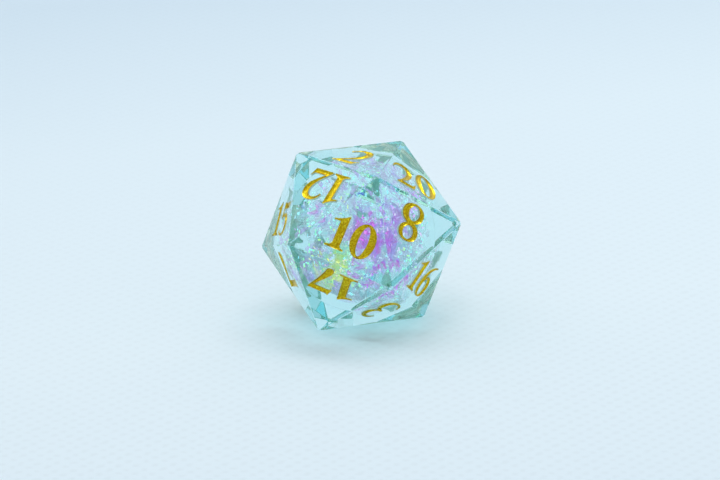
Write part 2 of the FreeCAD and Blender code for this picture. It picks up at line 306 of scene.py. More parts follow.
def true_face(mesh, radial):
    """Fills one face of the die again, all in one plane."""
    top = {f for f in mesh.faces if all(abs((v.co - CENTRE).dot(radial) - INNER_RADIUS) < 0.02 * MM
                                        for v in f.verts) and f.normal.dot(radial) > 0.99}
    outward = sum((f.normal * f.calc_area() for f in top), Vector()).normalized()
    origin = CENTRE + outward * INNER_RADIUS
    corners, flat, edges, across, along = outline_of(top, outward, origin)
    points, triangles = filled(flat, edges, FACE_GRID)
    bmesh.ops.delete(mesh, geom=list(top), context="FACES_ONLY")
    loose = [e for e in mesh.edges if not e.link_faces]
    bmesh.ops.delete(mesh, geom=loose, context="EDGES")
    for corner, point in zip(corners, points):
        corner.co = origin + across * point[0] + along * point[1]
    corners += [mesh.verts.new(origin + across * p[0] + along * p[1]) for p in points[len(corners):]]
    for triangle in triangles:
        mesh.faces.new([corners[i] for i in triangle])
    mesh.normal_update()


def casting():
    """The shell without its inner skin, and with all twenty faces true."""
    mesh = merged("resin_shell")
    inner = [v for v in mesh.verts if (v.co - CENTRE).length < CORE_RADIUS * 1.01]
    bmesh.ops.delete(mesh, geom=inner, context="VERTS")
    for node in FACE_OF:
        true_face(mesh, FACE_OF[node])
    print("open edges:", sum(not edge.is_manifold for edge in mesh.edges))
    data = bpy.data.meshes.new("clear_casting")
    mesh.to_mesh(data)
    mesh.free()
    piece = bpy.data.objects.new("clear_casting", data)
    bpy.context.scene.collection.objects.link(piece)
    data.materials.append(SHELL_RESIN)
    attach(piece, "root")
    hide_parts("resin_shell")
    return piece


def face_direction(node):
    """The direction from the die's centre to the face that a numeral is on."""
    mesh = merged(node)
    middle = sum((f.calc_center_median() * f.calc_area() for f in mesh.faces), Vector())
    radial = (middle / sum(f.calc_area() for f in mesh.faces) - CENTRE).normalized()
    flats = [f for f in mesh.faces if f.normal.dot(radial) > 0.9]
    direction = sum((f.normal * f.calc_area() for f in flats), Vector()).normalized()
    mesh.free()
    return direction


FACE_OF = {node: face_direction(node) for node in sorted(NODES) if node.startswith("numeral_")}
clear_casting = casting()
print("casting:", len(clear_casting.data.polygons), "faces")

# %% [markdown]
# ## Gold paint
#
# Metallic paint is fine flakes of mica in a clear binder. It mirrors like metal, with a soft gloss
# and a faint sparkle, and it is a little darker where it has run thick. The speckle is a shared group
# too, since the film below has the same kind of grain.
#
# The paint's underside and walls are seen through the resin, from behind. There the binder lies against
# the resin, so they look dull and cool, and get a second material of the same kind. Its pale colour is
# partly painted light: it lightens the paint's back where the inside of the die is dim.


# %% The speckle group and the gold paint
def mica_speckle():
    group = bpy.data.node_groups.new("mica_speckle", "ShaderNodeTree")
    face = group.interface
    face.new_socket(name="Grain Scale", in_out="INPUT", socket_type="NodeSocketFloat").default_value = 9000.0
    face.new_socket(name="Speckle", in_out="OUTPUT", socket_type="NodeSocketFloat")
    face.new_socket(name="Cloud", in_out="OUTPUT", socket_type="NodeSocketFloat")
    given = group.nodes.new("NodeGroupInput")
    place = add(group, "ShaderNodeTexCoord")
    grain = add(group, "ShaderNodeTexVoronoi", {"feature": "F1"}, Vector=place.outputs["Object"],
                Scale=given.outputs["Grain Scale"])
    single = add(group, "ShaderNodeSeparateColor", Color=grain.outputs["Color"])
    cloud = add(group, "ShaderNodeTexNoise", Vector=place.outputs["Object"], Scale=900.0, Detail=3.0)
    out = group.nodes.new("NodeGroupOutput")
    group.links.new(single.outputs[0], out.inputs["Speckle"])
    group.links.new(cloud.outputs["Fac"], out.inputs["Cloud"])
    return group


SPECKLE = mica_speckle()


def gold_paint(name, dark, middle, light, gloss):
    material, tree, out = empty_material(name)
    mica = add(tree, "ShaderNodeGroup", {"node_tree": SPECKLE}, Grain_Scale=9000.0)
    wear = add(tree, "ShaderNodeGroup", {"node_tree": WEAR}, Gloss=gloss, Smear=0.12, Scratch=0.3)
    tone = ramp(tree, mica.outputs["Speckle"], [(0.0, dark), (0.55, middle), (1.0, light)])
    depth = ramp(tree, mica.outputs["Cloud"], [(0.3, (0.82, 0.8, 0.74, 1)), (0.7, (1, 1, 1, 1))])
    colour = add(tree, "ShaderNodeMix", {"data_type": "RGBA", "blend_type": "MULTIPLY"}, _0=1.0,
                 _6=tone.outputs["Color"], _7=depth.outputs["Color"])
    height = add(tree, "ShaderNodeMath", {"operation": "MULTIPLY_ADD"}, _0=mica.outputs["Speckle"], _1=0.6,
                 _2=wear.outputs["Height"])
    bump = add(tree, "ShaderNodeBump", Height=height.outputs[0], Strength=0.25, Distance=0.00002)
    body = add(tree, "ShaderNodeBsdfPrincipled", Base_Color=colour.outputs[2],
               Roughness=wear.outputs["Roughness"], Normal=bump.outputs["Normal"])
    tree.links.new(body.outputs[0], out.inputs["Surface"])
    return material, body


GOLD, shader = gold_paint("gold_paint", mixed(190, 152, 0), mixed(220, 183, 2), mixed(254, 234, 56), 0.22)
shader.inputs["Metallic"].default_value = 0.9
# the back's pale colour is partly painted light, for the dim inside of the die
GOLD_BACK, shader = gold_paint("gold_paint_back", mixed(188, 216, 196), mixed(202, 228, 212),
                               mixed(216, 238, 224), 0.4)
shader.inputs["Metallic"].default_value = 0.3
print("paints:", GOLD.name, "and", GOLD_BACK.name)

# %% [markdown]
# ## Paint that has dried in an engraving
#
# Wet paint clings to the walls of its engraving and sinks in the middle as it dries, so each stroke is
# a trough: high at the rim, low along its middle. The outline comes from the CAD paint's flat top. A
# grid of points inside it is joined up by a Delaunay triangulation that keeps the outline's edges, and
# each point sinks by its distance from the outline. Walls and a floor close the solid. They reach a
# hair into the resin, so that seen through the resin the paint comes first.

# %% Sizes of the paint
RIM_DEPTH = 0.02 * MM
TROUGH_DEPTH = 0.20 * MM  # from the rim down to the middle of a stroke
WALL_WIDTH = 0.34 * MM  # how far in from the rim the paint still sinks
KEYED_IN = 0.008 * MM
PAINT_GRID = 0.11 * MM
SHARP_ANGLE = math.radians(50)
print(f"a trough is {TROUGH_DEPTH / MM:.2f} mm deep, {WALL_WIDTH / MM:.2f} mm in from its rim")

# %% [markdown]
# ### One numeral
#
# On the real die a brush or a drop fills the numeral and a cloth wipes the face clean. Here one function
# takes a numeral from its CAD node to its finished paint, so all twenty dry by the same rule.


# %% Build one numeral's paint
def paint_fill(node):
    """A numeral's paint: a sunk top in gold, and walls and a floor in the duller back of it."""
    outward = FACE_OF[node]
    origin = CENTRE + outward * INNER_RADIUS
    cad = merged(node)
    top = {f for f in cad.faces if f.normal.dot(outward) > 0.9}
    corners, outline, edges, across, along = outline_of(top, outward, origin)
    depth = -min((v.co - origin).dot(outward) for v in cad.verts) + KEYED_IN
    slide = np.zeros_like(outline)
    for a, b in edges:  # an edge moves both of its corners a little away from the paint
        face = next(f for f in corners[a].link_faces if f in top and corners[b] in f.verts)
        inside = face.calc_center_median() - origin
        side = outline[b] - outline[a]
        away = np.array([side[1], -side[0]]) / max(np.linalg.norm(side), 1e-12)
        if away @ (np.array([inside.dot(across), inside.dot(along)]) - outline[a]) > 0:
            away = -away
        slide[a] += away * KEYED_IN / 2
        slide[b] += away * KEYED_IN / 2
    outline = outline + slide
    cad.free()
    flat, faces = filled(outline, edges, PAINT_GRID)
    inset = np.clip(distance_to_outline(flat, outline, edges) / WALL_WIDTH, 0, 1)
    sunk = RIM_DEPTH + TROUGH_DEPTH * (1 - (1 - inset) ** 2)

    mesh = bmesh.new()
    used = sorted({i for face in faces for i in face})
    spots = {i: origin + across * flat[i][0] + along * flat[i][1] for i in used}
    top = {i: mesh.verts.new(spots[i] - outward * sunk[i]) for i in used}
    base = {i: mesh.verts.new(spots[i] - outward * depth) for i in used}
    sides = set()
    for face in faces:
        mesh.faces.new([top[i] for i in face]).smooth = True
        mesh.faces.new([base[i] for i in reversed(face)]).material_index = 1
        sides.update(zip(face, face[1:] + face[:1]))
    for a, b in sides:
        if (b, a) not in sides:
            mesh.faces.new([top[b], top[a], base[a], base[b]]).material_index = 1
    bmesh.ops.recalc_face_normals(mesh, faces=mesh.faces)
    name = node.replace("_paint", "_gold")
    data = bpy.data.meshes.new(name)
    mesh.to_mesh(data)
    mesh.free()
    data.set_sharp_from_angle(angle=SHARP_ANGLE)
    data.materials.append(GOLD)
    data.materials.append(GOLD_BACK)
    piece = bpy.data.objects.new(name, data)
    bpy.context.scene.collection.objects.link(piece)
    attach(piece, "root")
    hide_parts(node)
    return piece


# %% [markdown]
# ### All twenty
#
# Each numeral keeps its own piece, because on the real die each is its own drop of paint.

# %% Fill all twenty numerals
gold_numerals = [paint_fill(node) for node in FACE_OF]
print("numerals:", len(gold_numerals), "with", sum(len(p.data.polygons) for p in gold_numerals), "faces")

# %% [markdown]
# ## Iridescent film
#
# The film is clear plastic with a coating far thinner than a hair, so each facet sends back one colour,
# and that colour turns from magenta through violet and cyan to green as the facet tilts. The film is
# half see-through. Its colour and its thickness are worked out with the flakes, further down, and come
# to the material as named attributes. A weak glow of the same colour stands for the light that the film
# gathers from all round. Shadow and diffuse rays pass the film with a small loss, as they pass the resin.


# %% The film material
def iridescent_film():
    material, tree, out = empty_material("iridescent_film")
    tone = add(tree, "ShaderNodeAttribute", {"attribute_name": "film_colour"})
    mica = add(tree, "ShaderNodeGroup", {"node_tree": SPECKLE}, Grain_Scale=2500.0)
    gloss = add(tree, "ShaderNodeMapRange", Value=mica.outputs["Cloud"], To_Min=0.08, To_Max=0.3)
    bright = ramp(tree, mica.outputs["Speckle"], [(0.0, (0.78, 0.78, 0.78, 1)), (1.0, (1, 1, 1, 1))])
    colour = add(tree, "ShaderNodeMix", {"data_type": "RGBA", "blend_type": "MULTIPLY"}, _0=1.0,
                 _6=tone.outputs["Color"], _7=bright.outputs["Color"])
    thickness = add(tree, "ShaderNodeAttribute", {"attribute_name": "film_opacity"})
    solid = add(tree, "ShaderNodeMath", {"operation": "MULTIPLY"}, _0=tone.outputs["Alpha"],
                _1=thickness.outputs["Fac"])
    body = add(tree, "ShaderNodeBsdfPrincipled", Base_Color=colour.outputs[2], Roughness=gloss.outputs[0],
               Alpha=solid.outputs[0])
    # painted glow: the film shines by its own emission, for the light it gathers from all round
    painted_glow = add(tree, "ShaderNodeAttribute", {"attribute_name": "film_glow"})
    tree.links.new(colour.outputs[2], body.inputs["Emission Color"])
    tree.links.new(painted_glow.outputs["Fac"], body.inputs["Emission Strength"])
    glow = add(tree, "ShaderNodeBsdfTranslucent", Color=colour.outputs[2])
    clear = add(tree, "ShaderNodeBsdfTransparent")
    lit_through = add(tree, "ShaderNodeMixShader", _0=solid.outputs[0], _1=clear.outputs[0],
                      _2=glow.outputs[0])
    sheet = add(tree, "ShaderNodeMixShader", _0=0.5, _1=body.outputs[0], _2=lit_through.outputs[0])
    path = add(tree, "ShaderNodeLightPath")
    soft = add(tree, "ShaderNodeMath", {"operation": "MAXIMUM"}, _0=path.outputs["Is Shadow Ray"],
               _1=path.outputs["Is Diffuse Ray"])
    veil = add(tree, "ShaderNodeBsdfTransparent", Color=(0.98, 0.987, 0.99, 1))
    mix = add(tree, "ShaderNodeMixShader", _0=soft.outputs[0], _1=sheet.outputs[0], _2=veil.outputs[0])
    tree.links.new(mix.outputs[0], out.inputs["Surface"])
    return material


FILM = iridescent_film()
print("film:", FILM.name, "with", len(FILM.node_tree.nodes), "nodes")

# %% [markdown]
# ## Where the film has which colour
#
# The flakes were stirred into the ball and settled in clumps, so neighbours lie alike and share a
# colour. A list of patches says where: a direction from the ball's middle, a place on the colour wheel
# and a spread. A place above 1 is one turn on, so on the way to it a flake passes through violet and
# pink. In a few spots the film lies thinner.

# %% Patches of colour, and thin places
# direction, place on the wheel, spread as a share of the film ball's radius
PATCHES = [
    ((-0.90, 0.10, 0.05), 0.93, 0.60),  # pale aqua
    ((0.00, -0.30, 0.90), 0.95, 0.50),
    ((0.94, -0.05, 0.05), 0.95, 0.50),
    ((-0.68, -0.36, 0.49), 0.90, 0.34),  # cyan
    ((-0.03, -0.86, -0.32), 0.89, 0.26),
    ((-0.61, -0.66, -0.14), 0.70, 0.42),  # lime
    ((-0.82, -0.38, -0.06), 0.67, 0.28),
    ((-0.60, -0.52, -0.46), 0.67, 0.48),
    ((-0.28, -0.55, 0.67), 0.82, 0.28),  # mint
    ((0.37, -0.83, -0.03), 0.80, 0.28),
    ((0.21, -0.78, -0.41), 0.79, 0.26),
    ((0.24, -0.60, 0.64), 1.22, 0.32),  # violet
    ((0.18, -0.26, 0.85), 1.18, 0.26),
    ((-0.75, 0.15, -0.50), 1.18, 0.24),
    ((-0.75, -0.12, 0.50), 1.43, 0.28),  # pink
    ((-0.12, -0.66, 0.62), 1.44, 0.30),
    ((0.78, -0.18, 0.44), 1.44, 0.30),
    ((-0.30, -0.83, -0.20), 1.40, 0.24),
    ((-0.15, -0.84, 0.32), 1.49, 0.34),  # rose
    ((0.03, -0.82, 0.42), 1.40, 0.28),  # magenta
    ((0.08, -0.89, 0.08), 1.38, 0.34),
    ((0.14, -0.80, -0.42), 1.36, 0.30),
    ((0.36, -0.76, 0.30), 1.10, 0.24),  # lavender
]
# direction, spread
THIN = [((-0.45, 0.00, 0.85), 0.60), ((0.14, -0.16, 0.92), 0.50), ((-0.30, 0.10, -0.92), 0.45)]
THINNING = 0.75  # the share of the film that the middle of a thin place lacks
PATCH_DEPTH = 0.92  # how far out a patch has its middle, as a share of the film ball's radius
FILM_BALL = CORE_RADIUS * 0.88  # the film keeps clear of the ball's skin
SQUASH = 0.84  # the flakes sank a little as the ball cured, so their space is flatter than the ball
LEAN = (0.0, -0.3, 0.05)  # the side that holds more of the film
print(len(PATCHES), "patches and", len(THIN), f"thin places in a ball of {FILM_BALL / MM:.2f} mm radius")

# %% [markdown]
# ## The flakes
#
# Hundreds of flakes repeat one rule, so Geometry Nodes make them. Points are scattered in a ball, a
# small flat sheet stands on each, and after the instances are real a noise crumples every sheet its
# own way. Each corner's colour comes from the patch that it lies in, its flake's own tone and its
# facet's tilt. The ball's radius, the flakes' number and size, and the crumpling are named inputs. Hug
# keeps the flakes close to the ball's outside when it is small, and Lift moves them round the wheel.


# %% The film tree
def film_tree():
    """The rule that makes a ballful of crumpled, coloured film, as a Geometry Nodes tree."""
    tree = bpy.data.node_groups.new("film_in_a_ball", "GeometryNodeTree")
    face = tree.interface
    face.new_socket(name="Geometry", in_out="INPUT", socket_type="NodeSocketGeometry")
    sizes = (("Ball Radius", CORE_RADIUS), ("Flake Length", 1.5 * MM), ("Flake Width", 0.8 * MM),
             ("Crumple", 0.2 * MM), ("Crumple Scale", 700.0), ("Crinkle", 0.0), ("Hug", 0.5), ("Lift", 0.0),
             ("Opacity", 1.0), ("Glow", 0.33))
    for name, value in sizes:
        face.new_socket(name=name, in_out="INPUT", socket_type="NodeSocketFloat").default_value = value
    face.new_socket(name="Centre", in_out="INPUT", socket_type="NodeSocketVector")
    face.new_socket(name="Lean", in_out="INPUT", socket_type="NodeSocketVector")
    for name, value in (("Count", 100), ("Seed", 1), ("Cells", 5)):
        face.new_socket(name=name, in_out="INPUT", socket_type="NodeSocketInt").default_value = value
    face.new_socket(name="Film", in_out="INPUT", socket_type="NodeSocketMaterial")
    face.new_socket(name="Geometry", in_out="OUTPUT", socket_type="NodeSocketGeometry")
    given = tree.nodes.new("NodeGroupInput").outputs

    def random(low_value, high_value, salt, kind="FLOAT"):
        """A value drawn for each point. Each use has its own salt, so no two draws are alike."""
        seed = add(tree, "ShaderNodeMath", {"operation": "ADD"}, _0=given["Seed"], _1=float(salt))
        node = add(tree, "FunctionNodeRandomValue", {"data_type": kind}, Seed=seed.outputs[0])
        first = {"FLOAT_VECTOR": 0, "FLOAT": 2}[kind]
        node.inputs[first].default_value = low_value
        node.inputs[first + 1].default_value = high_value
        return node.outputs[first // 2]

    def maths(operation, a, b=0.0, c=0.0):
        return add(tree, "ShaderNodeMath", {"operation": operation}, _0=a, _1=b, _2=c).outputs[0]

    def vector(operation, a, b=(0, 0, 0)):
        return add(tree, "ShaderNodeVectorMath", {"operation": operation}, _0=a, _1=b).outputs["Vector"]

    def scaled(a, scale):
        return add(tree, "ShaderNodeVectorMath", {"operation": "SCALE"}, _0=a, Scale=scale).outputs["Vector"]

    # points spread through the ball, more of them on the side that the film leans to
    anywhere = random((-1, -1, -1), (1, 1, 1), 1, "FLOAT_VECTOR")
    heading = vector("NORMALIZE", vector("ADD", anywhere, given["Lean"]))
    outness = maths("POWER", random(0.0, 1.0, 2), given["Hug"])
    reach = maths("MULTIPLY", outness, given["Ball Radius"])
    spot = vector("MULTIPLY", scaled(heading, reach), (1.0, 1.0, SQUASH))
    points = add(tree, "GeometryNodePoints", Count=given["Count"])
    placed = add(tree, "GeometryNodeSetPosition", Geometry=points.outputs[0], Position=spot)

    # one sheet, stretched differently at each point
    sheet = add(tree, "GeometryNodeMeshGrid", Size_X=1.0, Size_Y=1.0, Vertices_X=given["Cells"],
                Vertices_Y=given["Cells"])
    long = maths("MULTIPLY", given["Flake Length"], random(0.5, 1.2, 3))
    wide = maths("MULTIPLY", given["Flake Width"], random(0.4, 1.2, 4))
    stretch = add(tree, "ShaderNodeCombineXYZ", X=long, Y=wide, Z=1.0)
    turn = random((0, 0, 0), (2 * math.pi,) * 3, 5, "FLOAT_VECTOR")
    sown = add(tree, "GeometryNodeInstanceOnPoints", Points=placed.outputs[0], Instance=sheet.outputs[0],
               Rotation=turn, Scale=stretch.outputs[0])
    own = add(tree, "GeometryNodeStoreNamedAttribute", {"data_type": "FLOAT", "domain": "INSTANCE"},
              Geometry=sown.outputs[0], Name="flake_tone", Value=random(0.0, 1.0, 6))
    real = add(tree, "GeometryNodeRealizeInstances", Geometry=own.outputs[0])

    # crumple every sheet, but keep it in the ball
    where = add(tree, "GeometryNodeInputPosition").outputs[0]
    own_tone = add(tree, "GeometryNodeInputNamedAttribute", {"data_type": "FLOAT"}, Name="flake_tone")
    own_tone = own_tone.outputs[0]
    aside = maths("MULTIPLY", own_tone, 0.02)
    shifted = vector("ADD", where, add(tree, "ShaderNodeCombineXYZ", X=aside, Y=aside).outputs[0])
    noise = add(tree, "ShaderNodeTexNoise", Vector=shifted, Scale=given["Crumple Scale"], Detail=2.0)
    centred = vector("SUBTRACT", noise.outputs["Color"], (0.5, 0.5, 0.5))
    pushed = scaled(centred, maths("MULTIPLY", given["Crumple"], 2.0))
    fine = add(tree, "ShaderNodeTexNoise", Vector=shifted, Scale=2400.0, Detail=1.0)
    centred = vector("SUBTRACT", fine.outputs["Color"], (0.5, 0.5, 0.5))
    pushed = vector("ADD", pushed, scaled(centred, maths("MULTIPLY", given["Crinkle"], 2.0)))
    crumpled = add(tree, "GeometryNodeSetPosition", Geometry=real.outputs[0], Offset=pushed)
    where = add(tree, "GeometryNodeInputPosition").outputs[0]
    far = add(tree, "ShaderNodeVectorMath", {"operation": "LENGTH"}, _0=where).outputs["Value"]
    share = maths("MINIMUM", maths("DIVIDE", given["Ball Radius"], maths("MAXIMUM", far, 1e-6)), 1.0)
    held = add(tree, "GeometryNodeSetPosition", Geometry=crumpled.outputs[0], Position=scaled(where, share))

    # colour: the patch that the flake lies in, then its own tone and the facet's tilt
    where = add(tree, "GeometryNodeInputPosition").outputs[0]
    tone = add(tree, "ShaderNodeTexNoise", Vector=where, Scale=170.0, Detail=1.0).outputs["Fac"]
    tone = maths("MULTIPLY_ADD", tone, 0.55, 0.77)

    def nearness(direction, spread):
        """1 at a place in the ball, and 0 from a spread's distance on."""
        spot = scaled(direction, maths("MULTIPLY", given["Ball Radius"], PATCH_DEPTH))
        gap = add(tree, "ShaderNodeVectorMath", {"operation": "DISTANCE"}, _0=where, _1=spot).outputs["Value"]
        share = maths("DIVIDE", gap, given["Ball Radius"])
        return add(tree, "ShaderNodeMapRange", {"interpolation_type": "SMOOTHSTEP"}, Value=share,
                   From_Min=0.4 * spread, From_Max=spread, To_Min=1.0, To_Max=0.0).outputs[0]

    # some flakes keep mostly to their own colour, so a patch never looks painted on
    loyal = add(tree, "ShaderNodeMapRange", Value=maths("FRACT", maths("MULTIPLY", own_tone, 7.3)),
                From_Min=0.1, From_Max=0.35, To_Min=0.3).outputs[0]
    for direction, patch_tone, spread in PATCHES:
        near = maths("MULTIPLY", nearness(direction, spread), loyal)
        tone = add(tree, "ShaderNodeMix", {"data_type": "FLOAT"}, _0=near, _2=tone, _3=patch_tone).outputs[0]
    opacity = given["Opacity"]
    for direction, spread in THIN:
        kept = maths("MULTIPLY_ADD", nearness(direction, spread), -THINNING, 1.0)
        opacity = maths("MULTIPLY", opacity, kept)
    facing = add(tree, "GeometryNodeInputNormal").outputs[0]
    tilt = add(tree, "ShaderNodeVectorMath", {"operation": "DOT_PRODUCT"}, _0=facing, _1=(0.3, -0.8, 0.5))
    tone = maths("ADD", tone, maths("MULTIPLY_ADD", maths("ABSOLUTE", tilt.outputs["Value"]), 0.18, -0.10))
    tone = maths("ADD", tone, maths("MULTIPLY_ADD", own_tone, 0.16, -0.08))
    tone = maths("FRACT", maths("ADD", tone, given["Lift"]))  # round and round the wheel
    wheel = ramp(tree, tone, [
        (0.00, mixed(232, 234, 240, 0.28)),
        (0.12, mixed(252, 196, 250, 0.42)),
        (0.24, mixed(200, 150, 255, 0.64)),
        (0.36, mixed(252, 96, 236, 0.76)),
        (0.46, mixed(255, 160, 235, 0.6)),
        (0.57, mixed(255, 226, 214, 0.3)),
        (0.68, mixed(255, 252, 120, 0.7)),
        (0.80, mixed(170, 255, 190, 0.54)),
        (0.90, mixed(182, 238, 252, 0.46)),
        (1.00, mixed(232, 234, 240, 0.28)),
    ])
    tinted = add(tree, "GeometryNodeStoreNamedAttribute", {"data_type": "FLOAT_COLOR", "domain": "POINT"},
                 Geometry=held.outputs[0], Name="film_colour", Value=wheel.outputs["Color"])
    thinned = add(tree, "GeometryNodeStoreNamedAttribute", {"data_type": "FLOAT", "domain": "POINT"},
                  Geometry=tinted.outputs[0], Name="film_opacity", Value=opacity)
    # the painted glow's strength, stored for the film material
    painted_glow = add(tree, "GeometryNodeStoreNamedAttribute", {"data_type": "FLOAT", "domain": "POINT"},
                 Geometry=thinned.outputs[0], Name="film_glow", Value=given["Glow"])
    moved = add(tree, "GeometryNodeSetPosition", Geometry=painted_glow.outputs[0], Offset=given["Centre"])
    dressed = add(tree, "GeometryNodeSetMaterial", Geometry=moved.outputs[0], Material=given["Film"])
    out = tree.nodes.new("NodeGroupOutput")
    tree.links.new(dressed.outputs[0], out.inputs[0])
    return tree


FILM_TREE = film_tree()
print("film tree:", len(FILM_TREE.nodes), "nodes")

# %% [markdown]
# ## Three grades of film
#
# A maker cuts or crushes film into the resin, so there are a few large crumpled shards, many flakes, and
# glitter. The glitter's flashes are painted glints: it glows more strongly than the rest of the film.
# Each grade runs the same tree with its own numbers, and is kept as a plain mesh.


# %% Scatter three grades of film
def scatter(name, node, **values):
    """Runs the tree on an empty mesh, keeps the result as a plain mesh, and hides the node whose place it
    takes.
    """
    holder = bpy.data.objects.new(name + "_holder", bpy.data.meshes.new(name + "_holder"))
    bpy.context.scene.collection.objects.link(holder)
    maker = holder.modifiers.new("film", "NODES")
    maker.node_group = FILM_TREE
    values = {"Film": FILM, "Centre": CENTRE, "Ball Radius": FILM_BALL, "Lean": LEAN, **values}
    for item in FILM_TREE.interface.items_tree:
        if item.item_type == "SOCKET" and item.in_out == "INPUT" and item.name in values:
            maker[item.identifier] = values[item.name]
    evaluated = holder.evaluated_get(bpy.context.evaluated_depsgraph_get())
    data = bpy.data.meshes.new_from_object(evaluated)
    data.name = name
    data.materials.clear()  # the sheet starts with an empty slot ahead of the film's
    data.materials.append(FILM)
    bpy.data.objects.remove(holder)
    piece = bpy.data.objects.new(name, data)
    bpy.context.scene.collection.objects.link(piece)
    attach(piece, "root")
    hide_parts(node)
    print(name, len(data.polygons), "facets")
    return piece


shards = scatter("film_shards", "film_large_flakes", **{
    "Count": 80, "Seed": 11, "Cells": 14, "Flake Length": 4.4 * MM, "Flake Width": 2.8 * MM,
    "Crumple": 1.0 * MM, "Crumple Scale": 420.0, "Crinkle": 0.10 * MM, "Hug": 0.32, "Opacity": 0.8})
flakes = scatter("film_flakes", "film_medium_flakes", **{
    "Count": 440, "Seed": 23, "Cells": 5, "Flake Length": 1.1 * MM, "Flake Width": 0.6 * MM,
    "Crumple": 0.25 * MM, "Crumple Scale": 900.0, "Hug": 0.3})
# Glow 1.1 gives the glitter its painted glints
glitter = scatter("film_glitter", "film_small_flakes", **{
    "Count": 700, "Seed": 37, "Cells": 2, "Flake Length": 0.42 * MM, "Flake Width": 0.28 * MM,
    "Crumple": 0.03 * MM, "Crumple Scale": 1800.0, "Hug": 0.2, "Lift": -0.09, "Opacity": 2.4, "Glow": 1.1})

# %% [markdown]
# ## The inner ball
#
# The ball that holds the film was cast first. Its resin cured before the shell was poured, so its skin
# bends light by a hair, and shows only as a faint line where it is seen edge on.


# %% The ball's skin
SKIN_SHARE = 0.994  # of the ball's radius, so that the ripples stay inside it
RIPPLE = 0.006


def core_skin():
    """The skin between the two castings, a ball with slow ripples."""
    mesh = bmesh.new()
    bmesh.ops.create_icosphere(mesh, subdivisions=5, radius=CORE_RADIUS)
    for vert in mesh.verts:
        x, y, z = vert.co.normalized()
        ripple = math.sin(7 * x + 4 * y) * math.cos(6 * z - 3 * x) * RIPPLE
        vert.co = CENTRE + vert.co * (SKIN_SHARE + ripple)
    data = bpy.data.meshes.new("inner_ball")
    mesh.to_mesh(data)
    mesh.free()
    data.shade_smooth()
    data.materials.append(CORE_RESIN)
    piece = bpy.data.objects.new("inner_ball", data)
    bpy.context.scene.collection.objects.link(piece)
    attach(piece, "root")
    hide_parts("resin_core")
    return piece


inner_ball = core_skin()
print("inner ball:", len(inner_ball.data.polygons), "faces")

# %% [markdown]
# ## The table
#
# The die stands on pale blue-white cloth that runs out of sight. Its colour is painted a little darker
# towards the back, as painted shade.
# The cloth is woven: short shallow stitches in rows. Two sine waves, one along each way of the cloth,
# give dips where both are high or both are low, and a noise frays the dips. The dips are a faint bump,
# and their darker colour is painted shade. The weave is clearest at the front and fades towards the back.


# %% The table
STITCH_LENGTH, STITCH_WIDTH = 1.95 * MM, 2.1 * MM
CLOTH_TURN = math.radians(16.5)
TABLE_HALF = 2.5  # metres from the middle of the table to its edge
TABLE_GAP = 0.03 * MM  # the air under the die's resting face


